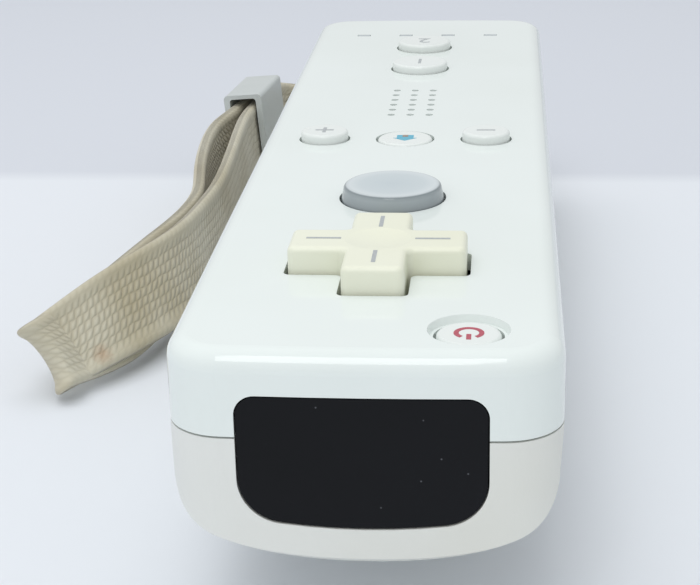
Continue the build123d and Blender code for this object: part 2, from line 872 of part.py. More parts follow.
# Direction pad, which rocks both ways on a disc above a rubber mat
pad_top = body_height + pad_rise
pad_flange_top = top_skin_bottom - pad_flange_gap
pad_flange_bottom = pad_flange_top - pad_flange_thickness
pad_hub_bottom = pad_flange_bottom - pad_hub_length
rocker_top = pad_hub_bottom - rocker_gap
rocker_bottom = rocker_top - rocker_thickness
mat_top = board_top + mat_thickness
with BuildPart() as d_pad:
    with BuildSketch(Plane.XY.offset(pad_flange_top)):
        with Locations((0, pad_y)):
            add(cross_outline(pad_half_span, pad_half_width))
    extrude(amount=pad_top - pad_flange_top)
    fillet(d_pad.faces().sort_by(Axis.Z)[-1].edges(), pad_edge)
    with Locations((0, pad_y, pad_top + pad_dish_radius - pad_dish_depth)):
        Sphere(pad_dish_radius, mode=Mode.SUBTRACT)
    upright(0, pad_y, pad_flange_bottom, pad_flange_top, pad_flange_radius)
    upright(0, pad_y, pad_hub_bottom, pad_flange_bottom, pad_hub_radius)
save(d_pad, "d_pad")

with BuildPart() as d_pad_rocker:
    upright(0, pad_y, rocker_bottom, rocker_top, rocker_radius)
    upright(0, pad_y, rocker_bottom - rocker_hub_length, rocker_bottom, rocker_hub_radius)
save(d_pad_rocker, "d_pad_rocker")

with BuildPart() as d_pad_mat:
    upright(0, pad_y, board_top, mat_top, mat_radius)
    with BuildSketch(Plane.XY.offset(mat_top)):
        with Locations((0, pad_y)):
            with PolarLocations(mat_dome_place, 4):
                Circle(mat_dome_radius)
    extrude(amount=mat_dome_height)
save(d_pad_mat, "d_pad_mat")

# Trigger: an open channel on two pins, with a plunger up to its dome
with BuildPart() as b_trigger:
    with BuildSketch(Plane.YZ.offset(-trigger_width / 2)):
        with BuildLine():
            ThreePointArc(
                (trigger_front, trigger_root_height),
                ((trigger_front + trigger_back) / 2, trigger_scoop_height),
                (trigger_back, trigger_tip_height),
            )
            Polyline(
                (trigger_back, trigger_tip_height),
                (trigger_back, trigger_back_height),
                (trigger_front + trigger_flat, trigger_top_height),
                (trigger_front, trigger_top_height),
                (trigger_front, trigger_root_height),
            )
        make_face()
    extrude(amount=trigger_width)
    with BuildSketch(Plane.YZ.offset(trigger_wall - trigger_width / 2)):
        with BuildLine():
            ThreePointArc(
                (trigger_front + trigger_wall, trigger_root_height + trigger_wall / 2),
                ((trigger_front + trigger_back) / 2, trigger_scoop_height + trigger_wall),
                (trigger_back - trigger_wall, trigger_tip_height + trigger_wall),
            )
            Polyline(
                (trigger_back - trigger_wall, trigger_tip_height + trigger_wall),
                (trigger_back - trigger_wall, trigger_top_height + trigger_wall),
                (trigger_front + trigger_wall, trigger_top_height + trigger_wall),
                (trigger_front + trigger_wall, trigger_root_height + trigger_wall / 2),
            )
        make_face()
    extrude(amount=trigger_width - 2 * trigger_wall, mode=Mode.SUBTRACT)
    plunger_y = trigger_front + plunger_from_root
    box(
        (-plunger_width / 2, plunger_y - plunger_width / 2, trigger_scoop_height + trigger_wall / 2),
        (plunger_width / 2, plunger_y + plunger_width / 2, plunger_top),
    )
    for side in (-1, 1):
        left, right = sorted((side * (trigger_width / 2 - trigger_wall), side * pin_reach))
        crosswise(pin_y, pin_height, left, right, pin_radius)
save(b_trigger, "b_trigger")

lower_domes = [
    ("trigger_dome", 0, plunger_y, trigger_dome_height),
    ("sync_dome", sync_x, sync_y, sync_switch_height),
]
for name, x, y, height in lower_domes:
    with BuildPart() as dome:
        with BuildSketch(Plane.XY.offset(board_bottom)):
            with Locations((x, y)):
                Circle(dome_radius)
        extrude(amount=-height, taper=dome_taper)
    save(dome, name)

sync_flange_top = sync_flange_bottom + sync_flange_thickness
sync_stem_top = board_bottom - sync_switch_height - dome_clearance
with BuildPart() as sync_button:
    upright(sync_x, sync_y, sync_bottom, sync_flange_bottom, sync_radius)
    upright(sync_x, sync_y, sync_flange_bottom, sync_flange_top, sync_flange_radius)
    upright(sync_x, sync_y, sync_flange_top, sync_stem_top, sync_stem_radius)
save(sync_button, "sync_button")

# Screws with a three-slot recess
for i, (x, y) in enumerate(screw_places):
    with BuildPart() as screw:
        upright(x, y, screw_seat - screw_head_height, screw_seat, screw_head_radius)
        upright(x, y, screw_seat, screw_seat + screw_length, screw_radius)
        with BuildSketch(Plane.XY.offset(screw_seat - screw_head_height)):
            with Locations((x, y)):
                with PolarLocations(screw_slot_length / 2, 3):
                    Rectangle(screw_slot_length, screw_slot_width)
        extrude(amount=screw_slot_depth, mode=Mode.SUBTRACT)
    save(screw, "case_screw_" + str(i + 1))

# Rumble motor in its rubber sleeve, with an uneven weight on its shaft
with BuildPart() as rumble_motor:
    lengthwise(motor_x, motor_z, motor_y, motor_back, motor_radius)
    fillet(rumble_motor.edges(), edge_soft)
    lengthwise(motor_x, motor_z, motor_y - shaft_length, motor_y, shaft_radius)
save(rumble_motor, "rumble_motor")

with BuildPart() as motor_sleeve:
    with BuildSketch(Plane((motor_x, cradle_middle - sleeve_length / 2, motor_z), z_dir=(0, 1, 0))):
        Circle(sleeve_radius)
        Circle(motor_radius + sleeve_gap, mode=Mode.SUBTRACT)
    extrude(amount=sleeve_length)
save(motor_sleeve, "motor_sleeve")

weight_front = motor_y - weight_gap - weight_length
with BuildPart() as rumble_weight:
    with BuildSketch(Plane((motor_x, weight_front, motor_z), z_dir=(0, 1, 0))):
        with BuildLine():
            CenterArc((0, 0), weight_radius, 0, 180)
            Line((-weight_radius, 0), (weight_radius, 0))
        make_face()
        Circle(weight_hub_radius)
        Circle(shaft_radius + weight_play, mode=Mode.SUBTRACT)
    extrude(amount=weight_length)
save(rumble_weight, "rumble_weight")

# Expansion socket in the tail, hung from the board
with BuildPart() as expansion_socket:
    socket_half = socket_width / 2
    socket_top = socket_floor + socket_height
    box(
        (-socket_half - socket_wall, socket_back, socket_floor - socket_wall),
        (socket_half + socket_wall, socket_mouth, socket_top + socket_wall),
    )
    box(
        (-socket_half, socket_back + socket_back_wall, socket_floor),
        (socket_half, socket_mouth + cut_over, socket_top),
        Mode.SUBTRACT,
    )
    box(
        (
            -tongue_plate_width / 2,
            socket_back,
            socket_top - tongue_plate_drop - tongue_plate_thickness,
        ),
        (tongue_plate_width / 2, socket_mouth - tongue_plate_room, socket_top - tongue_plate_drop),
    )
    box(
        (-socket_half, socket_back, socket_top),
        (socket_half, socket_back + socket_riser, board_bottom),
    )
save(expansion_socket, "expansion_socket")


def unit(vector):
    return vector * (1 / vector.length)


def from_tail(stations):
    """Stations whose second number is measured from the tail's end, set in their place."""
    return [(x, half_length + y, *rest) for x, y, *rest in stations]


def slider_station(from_front, aside):
    """A station on the straight run through the slider, that far behind its mouth, for from_tail."""
    x = slider_x + aside + from_front * tan(radians(slider_turn))
    return (x, from_front - slider_from_tail, slider_z, slider_lean)


# Strap webbing, from the cord end round the fold and back: place, and lean of its top away from the wand
near_layer = from_tail([
    (ferrule_start_x, ferrule_from_tail - layer_pitch / 2, ferrule_z, 0),
    (-17.0, ferrule_from_tail - layer_pitch / 2, 7.5, 0),
    (-23.0, ferrule_from_tail - layer_pitch / 2, 7.6, 1),
    (-26.4, 21.5, 8.2, 3),
    (-28.2, 19.6, 9.0, slider_lean),
    slider_station(slider_straight, layer_pitch / 2),
    slider_station(-slider_from_tail, layer_pitch / 2),
    (-31.0, -8.2, 9.9, slider_lean),
    (-30.3, -23.7, 9.2, slider_lean),
    (-29.8, -38.8, 8.5, 6),
    (-30.4, -47.7, 8.2, 9),
    (-30.9, -58.6, 8.2, 16),
    (-32.6, -67.2, 8.3, 27),
    (-37.0, -76.4, 7.8, 37),
    (-41.2, -83.2, 6.7, 39),
])
far_layer = from_tail([
    (-42.6, -82.6, 5.1, 39),
    (-39.6, -77.0, 5.4, 39),
    (-38.0, -71.4, 5.9, 34),
    (-34.8, -60.3, 6.9, 27),
    (-33.4, -55.1, 7.3, 18),
    (-32.5, -48.4, 7.7, 10),
    (-32.3, -41.5, 8.2, 7),
    (-34.2, -32.5, 8.7, 5),
    (-35.4, -20.1, 9.2, slider_lean),
    (-35.4, -9.0, 9.8, slider_lean),
    slider_station(-slider_from_tail, -layer_pitch / 2),
    slider_station(slider_straight, -layer_pitch / 2),
    (-30.4, 20.6, 9.0, slider_lean),
    (-28.3, 23.4, 8.1, 3),
    (-24.8, ferrule_from_tail + layer_pitch / 2, 7.6, 1),
    (-17.0, ferrule_from_tail + layer_pitch / 2, 7.5, 0),
    (ferrule_start_x, ferrule_from_tail + layer_pitch / 2, ferrule_z, 0),
])
fold_middle = Vector(-44.9, half_length + fold_from_tail, 5.5)
fold_heading = unit(Vector(-0.5, -0.86, -0.08))


def width_direction(heading, lean):
    """Up across the webbing, leaning away from the wand by lean, square to its heading."""
    toward = 1 if heading.Y <= 0 else -1
    side = unit(Vector(heading.Y, -heading.X, 0)) * toward
    up = side * sin(radians(lean)) + Vector(0, 0, cos(radians(lean)))
    return unit(up - heading * up.dot(heading))


def layer_sections(stations, before, after):
    """Section planes along one layer, each square to the run between its neighbours."""
    points = [Vector(*station[:3]) for station in stations]
    run = [points[0] - before] + points + [points[-1] + after]
    sections = []
    for i, station in enumerate(stations):
        start = points[0] if i == 0 else run[i]
        end = points[-1] if i == len(points) - 1 else run[i + 2]
        heading = unit(end - start)
        if i == 0:
            heading = unit(before)
        if i == len(points) - 1:
            heading = unit(after)
        sections.append(Plane(points[i], x_dir=width_direction(heading, station[3]), z_dir=heading))
    return sections


fold_up = width_direction(fold_heading, fold_lean)
fold_out = fold_up.cross(fold_heading)
fold_sections = []
for i in range(fold_steps + 1):
    turn = pi * i / fold_steps
    place = fold_middle + (fold_heading * sin(turn) - fold_out * cos(turn)) * (fold_pitch / 2)
    heading = fold_heading * cos(turn) + fold_out * sin(turn)
    fold_sections.append(Plane(place, x_dir=fold_up, z_dir=heading))

toward_slider = Vector(-1, 0, 0)
near_sections = layer_sections(near_layer, toward_slider, fold_heading)
far_sections = layer_sections(far_layer, fold_heading * -1, toward_slider * -1)
with BuildPart() as strap_webbing:
    for section in near_sections[:-1]:
        with BuildSketch(section):
            Rectangle(webbing_width, webbing_thickness)
    for section in near_sections[-1:] + fold_sections + far_sections[:1]:
        with BuildSketch(section):
            width = fold_width if section in fold_sections else (webbing_width + fold_width) / 2
            Rectangle(width, webbing_thickness)
    for section in far_sections[1:]:
        with BuildSketch(section):
            Rectangle(webbing_width, webbing_thickness)
    loft(ruled=True)
save(strap_webbing, "strap_webbing")
webbing_run = sum((b.origin - a.origin).length for a, b in zip(near_sections, near_sections[1:]))
webbing_run += sum((b.origin - a.origin).length for a, b in zip(far_sections, far_sections[1:]))
webbing_run += pi * fold_pitch / 2
print("webbing length", round(webbing_run, 1), "volume", round(strap_webbing.part.volume, 1))

# Slider: a sleeve round both layers
lean = radians(slider_lean)
turn = radians(slider_turn)
slider_plane = Plane(
    (slider_x, slider_front_y, slider_z),
    x_dir=(cos(lean) * cos(turn), -cos(lean) * sin(turn), sin(lean)),
    z_dir=(-sin(turn), -cos(turn), 0),
)
slider_outer_width = slider_inner_width + 2 * slider_wall
slider_outer_height = slider_inner_height + slider_top + slider_base
with BuildPart() as strap_slider:
    with BuildSketch(slider_plane):
        with Locations((0, (slider_top - slider_base) / 2)):
            RectangleRounded(slider_outer_width, slider_outer_height, slider_corner)
        RectangleRounded(slider_inner_width, slider_inner_height, slider_mouth_corner, mode=Mode.SUBTRACT)
    extrude(amount=-slider_length)
save(strap_slider, "strap_slider")

# Ferrule that joins webbing and cord
ferrule_end_x = ferrule_start_x + ferrule_length
with BuildPart() as cord_ferrule:
    with BuildSketch(Plane((ferrule_start_x, ferrule_y, ferrule_z), x_dir=(0, 0, 1), z_dir=(1, 0, 0))):
        RectangleRounded(ferrule_wide_height, ferrule_wide_depth, ferrule_corner)
    with BuildSketch(Plane((ferrule_end_x, ferrule_y, ferrule_z), x_dir=(0, 0, 1), z_dir=(1, 0, 0))):
        RectangleRounded(ferrule_narrow_height, ferrule_narrow_depth, ferrule_corner)
    loft()
save(cord_ferrule, "cord_ferrule")

# Cord: two strands from the ferrule, round the bar in the tail. Each turn has its place and radius.
strand_half_pitch = anchor_bar_radius + bar_clearance + cord_diameter / 2
bar_back = -anchor_bar_inset - strand_half_pitch
cord_start = (ferrule_end_x, ferrule_y + ferrule_half_pitch, ferrule_z)
cord_end = (ferrule_end_x, ferrule_y - ferrule_half_pitch, ferrule_z)
cord_turns = [
    ((16.6, 24.2, 5.6), 5.8),
    ((16.6, 7.2, 2.0), 5.8),
    ((2.6, 8.0, 2.4), 16.0),
    ((anchor_x + strand_half_pitch, 7.4, 7.4), 4.8),
    ((anchor_x + strand_half_pitch, bar_back, anchor_z), bar_turn_radius),
    ((anchor_x - strand_half_pitch, bar_back, anchor_z), bar_turn_radius),
    ((anchor_x - strand_half_pitch, 10.4, 7.0), 5.6),
    ((1.4, 10.9, 2.6), 16.0),
    ((13.6, 10.1, 2.4), 5.0),
    ((13.6, 22.0, 5.8), 5.0),
]
cord_places = from_tail([place for place, radius in cord_turns])
with BuildPart() as strap_cord:
    with BuildLine() as cord_route:
        FilletPolyline(cord_start, *cord_places, cord_end, radius=[radius for place, radius in cord_turns])
    with BuildSketch(Plane(cord_route.line @ 0, z_dir=cord_route.line % 0)):
        Circle(cord_diameter / 2)
    sweep()
save(strap_cord, "strap_cord")
cord_length = sum(edge.length for edge in cord_route.edges())
tube_volume = pi * (cord_diameter / 2) ** 2 * cord_length
print("cord length", round(cord_length, 1), "radii", [radius for place, radius in cord_turns])
print("cord tube", round(strap_cord.part.volume, 1), "of", round(tube_volume, 1))
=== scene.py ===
import bmesh
import bpy
from math import cos, pi, radians, sin
from mathutils import Matrix, Vector


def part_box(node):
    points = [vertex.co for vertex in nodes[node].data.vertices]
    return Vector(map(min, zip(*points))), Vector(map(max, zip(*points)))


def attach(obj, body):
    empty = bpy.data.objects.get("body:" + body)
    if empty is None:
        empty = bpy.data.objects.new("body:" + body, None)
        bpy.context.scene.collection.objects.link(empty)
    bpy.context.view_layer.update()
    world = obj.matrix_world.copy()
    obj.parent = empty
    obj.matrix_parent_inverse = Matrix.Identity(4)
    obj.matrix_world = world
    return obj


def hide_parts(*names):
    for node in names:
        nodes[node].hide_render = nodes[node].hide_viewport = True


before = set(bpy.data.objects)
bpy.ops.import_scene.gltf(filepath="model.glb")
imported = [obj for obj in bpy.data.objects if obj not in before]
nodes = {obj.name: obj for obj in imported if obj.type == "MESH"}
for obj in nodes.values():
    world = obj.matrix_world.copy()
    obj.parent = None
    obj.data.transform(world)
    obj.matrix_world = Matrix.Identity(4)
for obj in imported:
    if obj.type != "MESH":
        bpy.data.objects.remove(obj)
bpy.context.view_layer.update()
mm = 0.001
print("stage: frame loaded", len(nodes), "nodes")


# Helpers
def toLinear(hexColour):
    channels = [int(hexColour[i:i + 2], 16) / 255 for i in (1, 3, 5)]
    linear = [c / 12.92 if c <= 0.04045 else ((c + 0.055) / 1.055) ** 2.4 for c in channels]  # the sRGB curve
    return (*linear, 1.0)


def connect(tree, node, links):
    for key, source in links.items():
        tree.links.new(source, node.inputs[key])


def placeStops(elements, stops):
    while len(elements) < len(stops):
        elements.new(0.5)
    for element, (position, colour) in zip(elements, stops):
        element.position = position
        element.color = toLinear(colour)


def addNode(tree, kind, settings=None, links=None):
    node = tree.nodes.new(kind)
    for key, value in (settings or {}).items():
        if key == "sizeMm":
            node.inputs["Scale"].default_value = 1 / (value * mm)  # coordinates are metres, so sizes are real
        elif key == "stops":
            placeStops(node.color_ramp.elements, value)
        elif isinstance(key, int) or key[0].isupper():
            node.inputs[key].default_value = value
        else:
            setattr(node, key, value)
    connect(tree, node, links or {})
    return node


def startMaterial(name, surface):
    material = bpy.data.materials.new(name)
    material.use_nodes = True
    tree = material.node_tree
    tree.nodes.clear()
    shader = addNode(tree, "ShaderNodeBsdfPrincipled", surface)
    addNode(tree, "ShaderNodeOutputMaterial", links={"Surface": shader.outputs[0]})
    place = addNode(tree, "ShaderNodeTexCoord").outputs["Object"]
    return material, tree, shader, place


# Moulded plastics
ageing = {"patches": {"sizeMm": 38, "Detail": 3.0, "Roughness": 0.6}, "cleanUntil": 0.38, "agedFrom": 0.72,
          "smears": {"sizeMm": 9, "Detail": 4.0, "Roughness": 0.65}, "smearLow": 0.3, "smearHigh": 0.75,
          "glossiest": 0.85, "dullest": 1.25, "grain": {"Detail": 2.0, "Roughness": 0.6}, "speckEdge": 1.6,
          "ior": 1.54, "shine": 0.5}
plastics = {
    # Polished top shell: white with a mirror-like edge highlight
    "topAbs": {"clean": "#E6EDEA", "aged": "#E2E9E5", "roughness": 0.07, "grainMm": 1.4,
               "grainDepthMm": 0.0015},
    # Spark-eroded lower shell: warmer, matt, finely grained
    "bottomAbs": {"clean": "#E2E4E0", "aged": "#DBDCD4", "roughness": 0.4, "grainMm": 0.3,
                  "grainDepthMm": 0.01},
    # Infrared-clear window: near black and smooth, with a few grains of dust
    "windowAcrylic": {"clean": "#0D0E11", "aged": "#111216", "roughness": 0.2, "grainMm": 2.0,
                      "grainDepthMm": 0.002, "ior": 1.49, "shine": 0.16,
                      "specks": {"everyMm": 3.1, "size": 0.02, "colour": "#55575B"}},
    # Yellowed direction pad: cream, satin
    "padAbs": {"clean": "#EAECDA", "aged": "#E4E5CF", "roughness": 0.32, "grainMm": 0.5,
               "grainDepthMm": 0.006},
    # Small caps: white, a softer shine than the shell
    "keyAbs": {"clean": "#E6EBE8", "aged": "#E1E6E2", "roughness": 0.24, "grainMm": 0.8,
               "grainDepthMm": 0.003},
    # Hidden rocker: plain grey, matt
    "innerAbs": {"clean": "#9A9C9A", "aged": "#8D8F8C", "roughness": 0.5, "grainMm": 0.4,
                 "grainDepthMm": 0.01},
    # Chip bodies, camera and socket: matt black
    "darkNylon": {"clean": "#1D1D1F", "aged": "#26262A", "roughness": 0.5, "grainMm": 0.4,
                  "grainDepthMm": 0.01},
    # Strap slider and ferrule: light grey, waxy
    "sliderAcetal": {"clean": "#C6CCCB", "aged": "#BEC3C1", "roughness": 0.38, "grainMm": 0.5,
                     "grainDepthMm": 0.01, "ior": 1.48},
    # Sync button: clear bright red
    "redAbs": {"clean": "#A8262C", "aged": "#961F25", "roughness": 0.3, "grainMm": 0.5,
               "grainDepthMm": 0.005},
    # Light guides and LED lenses: pale, slightly cloudy
    "lightGuidePlastic": {"clean": "#B9C1C3", "aged": "#AEB6B9", "roughness": 0.3, "grainMm": 0.6,
                          "grainDepthMm": 0.004},
    # Dipped capacitor: dull mustard
    "capacitorCase": {"clean": "#C08A2B", "aged": "#B27E25", "roughness": 0.45, "grainMm": 0.5,
                      "grainDepthMm": 0.006},
}


def mouldedPlastic(name, look):
    # Moulded plastic: even colour, slow ageing patches, finger smears in the gloss, the mould's own grain
    material, tree, shader, place = startMaterial(name, {"IOR": look.get("ior", ageing["ior"]),
                                                  "Specular IOR Level": look.get("shine", ageing["shine"])})
    patches = addNode(tree, "ShaderNodeTexNoise", ageing["patches"], {"Vector": place})
    tones = [(ageing["cleanUntil"], look["clean"]), (ageing["agedFrom"], look["aged"])]
    colour = addNode(tree, "ShaderNodeValToRGB", {"stops": tones}, {0: patches.outputs[0]}).outputs[0]
    if "specks" in look:
        specks = look["specks"]
        dots = addNode(tree, "ShaderNodeTexVoronoi", {"sizeMm": specks["everyMm"]}, {"Vector": place})
        fade = [(specks["size"], "#FFFFFF"), (specks["size"] * ageing["speckEdge"], "#000000")]
        mask = addNode(tree, "ShaderNodeValToRGB", {"stops": fade}, {0: dots.outputs["Distance"]})
        colour = addNode(tree, "ShaderNodeMix", {"data_type": "RGBA", 7: toLinear(specks["colour"])},
                         {0: mask.outputs[0], 6: colour}).outputs[2]
    smears = addNode(tree, "ShaderNodeTexNoise", ageing["smears"], {"Vector": place})
    gloss = addNode(tree, "ShaderNodeMapRange", {
        "From Min": ageing["smearLow"], "From Max": ageing["smearHigh"],
        "To Min": look["roughness"] * ageing["glossiest"], "To Max": look["roughness"] * ageing["dullest"]},
        {0: smears.outputs[0]})
    grain = addNode(tree, "ShaderNodeTexNoise", {"sizeMm": look["grainMm"], **ageing["grain"]},
                    {"Vector": place})
    bump = addNode(tree, "ShaderNodeBump", {"Distance": look["grainDepthMm"] * mm},
                   {"Height": grain.outputs[0]})
    connect(tree, shader, {"Base Color": colour, "Roughness": gloss.outputs[0], "Normal": bump.outputs[0]})
    return material


# Action button
# Painted light and shade on the cap: tones by distance from its middle, with a painted dark line at the bend
clearCap = {"rampMm": 6, "surface": {"IOR": 1.49, "Roughness": 0.08},
            "stops": [(0.0, "#BCC7CB"), (0.6, "#C3CDD0"), (0.8, "#CED6D8"), (0.86, "#C3CBCD"),
                      (0.89, "#7E878A"), (0.92, "#A3ABAE"), (0.98, "#8F979A")]}


def acrylicCapPaintedShade():
    # Clear grey acrylic cap over white, with painted light and shade by distance from the middle: a light top
    # face growing lighter toward the rim, a painted dark line of shade where it turns down, a smoky side
    # painted darker as if in shade
    material, tree, shader, place = startMaterial("acrylicCapPaintedShade", clearCap["surface"])
    low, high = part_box("a_button")
    middle = (low + high) / 2
    offset = addNode(tree, "ShaderNodeVectorMath",
                     {"operation": "SUBTRACT", 1: (middle.x, middle.y, high.z)}, {0: place})
    flat = addNode(tree, "ShaderNodeVectorMath", {"operation": "MULTIPLY", 1: (1, 1, 0)},
                   {0: offset.outputs[0]})
    radius = addNode(tree, "ShaderNodeVectorMath", {"operation": "LENGTH"}, {0: flat.outputs[0]})
    share = addNode(tree, "ShaderNodeMath", {"operation": "DIVIDE", 1: clearCap["rampMm"] * mm},
                    {0: radius.outputs["Value"]})
    tone = addNode(tree, "ShaderNodeValToRGB", {"stops": clearCap["stops"]}, {0: share.outputs[0]})
    connect(tree, shader, {"Base Color": tone.outputs[0]})
    return material


# Metals
streaking = {"noise": {"Detail": 4.0, "Roughness": 0.7}, "smoothest": 0.7, "roughest": 1.3}
metals = {
    "platedSteel": {"stops": [(0.3, "#B9B9B5"), (0.7, "#D2D2CE")], "roughness": 0.25, "streakMm": 1.2},
    "screwSteel": {"stops": [(0.3, "#8B8C8E"), (0.7, "#A3A4A6")], "roughness": 0.35, "streakMm": 1.2},
    "sinteredTungsten": {"stops": [(0.3, "#6E6A65"), (0.7, "#85817B")], "roughness": 0.45, "streakMm": 0.5},
}


def streakedMetal(name, look):
    # Plated, turned or sintered metal: fine uneven streaks that spread the highlight
    material, tree, shader, place = startMaterial(name, {"Metallic": 1.0})
    streaks = addNode(tree, "ShaderNodeTexNoise", {"sizeMm": look["streakMm"], **streaking["noise"]},
                      {"Vector": place})
    tone = addNode(tree, "ShaderNodeValToRGB", {"stops": look["stops"]}, {0: streaks.outputs[0]})
    rough = addNode(tree, "ShaderNodeMapRange", {"To Min": look["roughness"] * streaking["smoothest"],
                    "To Max": look["roughness"] * streaking["roughest"]}, {0: streaks.outputs[0]})
    connect(tree, shader, {"Base Color": tone.outputs[0], "Roughness": rough.outputs[0]})
    return material


# Rubbers
mottling = {"noise": {"sizeMm": 1.5, "Detail": 3.0}, "depthMm": 0.02,
            "surface": {"IOR": 1.41, "Roughness": 0.7}}
rubbers = {
    "siliconeGrey": [(0.3, "#5F6163"), (0.7, "#6B6D6F")],
    "foamBlack": [(0.3, "#242426"), (0.7, "#2E2E31")],
}


def pressedRubber(name, stops):
    # Silicone or foam rubber: dull, slightly mottled
    material, tree, shader, place = startMaterial(name, mottling["surface"])
    mottle = addNode(tree, "ShaderNodeTexNoise", mottling["noise"], {"Vector": place})
    tone = addNode(tree, "ShaderNodeValToRGB", {"stops": stops}, {0: mottle.outputs[0]})
    bump = addNode(tree, "ShaderNodeBump", {"Distance": mottling["depthMm"] * mm},
                   {"Height": mottle.outputs[0]})
    connect(tree, shader, {"Base Color": tone.outputs[0], "Normal": bump.outputs[0]})
    return material


# Circuit board
board = {"surface": {"IOR": 1.5, "Roughness": 0.35}, "stops": [(0.45, "#0E5A33"), (0.55, "#1B7444")],
         "tracks": {"sizeMm": 6, "Distortion": 6.0, "Detail": 2.0}}


def solderMask():
    # Green solder mask over copper: a pattern of tracks just shows, drawn coarser than real ones
    material, tree, shader, place = startMaterial("solderMask", board["surface"])
    tracks = addNode(tree, "ShaderNodeTexWave", board["tracks"], {"Vector": place})
    tone = addNode(tree, "ShaderNodeValToRGB", {"stops": board["stops"]}, {0: tracks.outputs["Fac"]})
    connect(tree, shader, {"Base Color": tone.outputs[0]})
    return material


# Battery cells
sleeve = {"surface": {"IOR": 1.5, "Roughness": 0.25}, "bandStartMm": 8, "bandEndMm": 48,
          "stops": [(0.0, "#C8A24A"), (0.22, "#23262B"), (0.8, "#23262B")]}


def paintedWrap():
    # Printed shrink sleeve on a cell: dark and glossy with one bright band
    material, tree, shader, place = startMaterial("cellSleeve", sleeve["surface"])
    split = addNode(tree, "ShaderNodeSeparateXYZ", links={0: place})
    band = addNode(tree, "ShaderNodeMapRange", {"From Min": sleeve["bandStartMm"] * mm,
                   "From Max": sleeve["bandEndMm"] * mm}, {0: split.outputs[1]})
    tone = addNode(tree, "ShaderNodeValToRGB", {"stops": sleeve["stops"]}, {0: band.outputs[0]})
    tone.color_ramp.interpolation = "CONSTANT"
    connect(tree, shader, {"Base Color": tone.outputs[0]})
    return material


# Strap material
knit = {"surface": {"IOR": 1.45, "Roughness": 0.85, "Sheen Weight": 0.25, "Sheen Roughness": 0.5},
        "cellMm": 1.25, "rowMm": 1.2, "rowShift": 0.5, "slant": 0.85, "rowSoftness": 0.5, "depthMm": 0.16,
        "swayMm": 0.6, "sway": {"sizeMm": 3, "Detail": 1.0}, "edgeHeight": 0.55, "hair": 0.25,
        "fuzz": {"sizeMm": 0.5, "Detail": 3.0, "Roughness": 0.7}, "slow": {"sizeMm": 14, "Detail": 2.0},
        # Tones by stitch height: painted shade in the gaps between stitches and rows, lighter on the raised
        # stitches
        "stops": [(0.0, "#BBB5A1"), (0.5, "#C6C1AE"), (1.0, "#D4D0BF")],
        "grime": [(0.35, "#FFFFFF"), (0.75, "#D8D0BC")], "grimeShare": 0.8}
# A painted shade spot low on the near layer, by the fold near the table
shadeSpot = {"place": (-39.1, -10.0, 3.9), "core": 0.65, "reach": 2.6, "ragged": 1.6, "strength": 0.7,
         "colour": "#A8815F"}


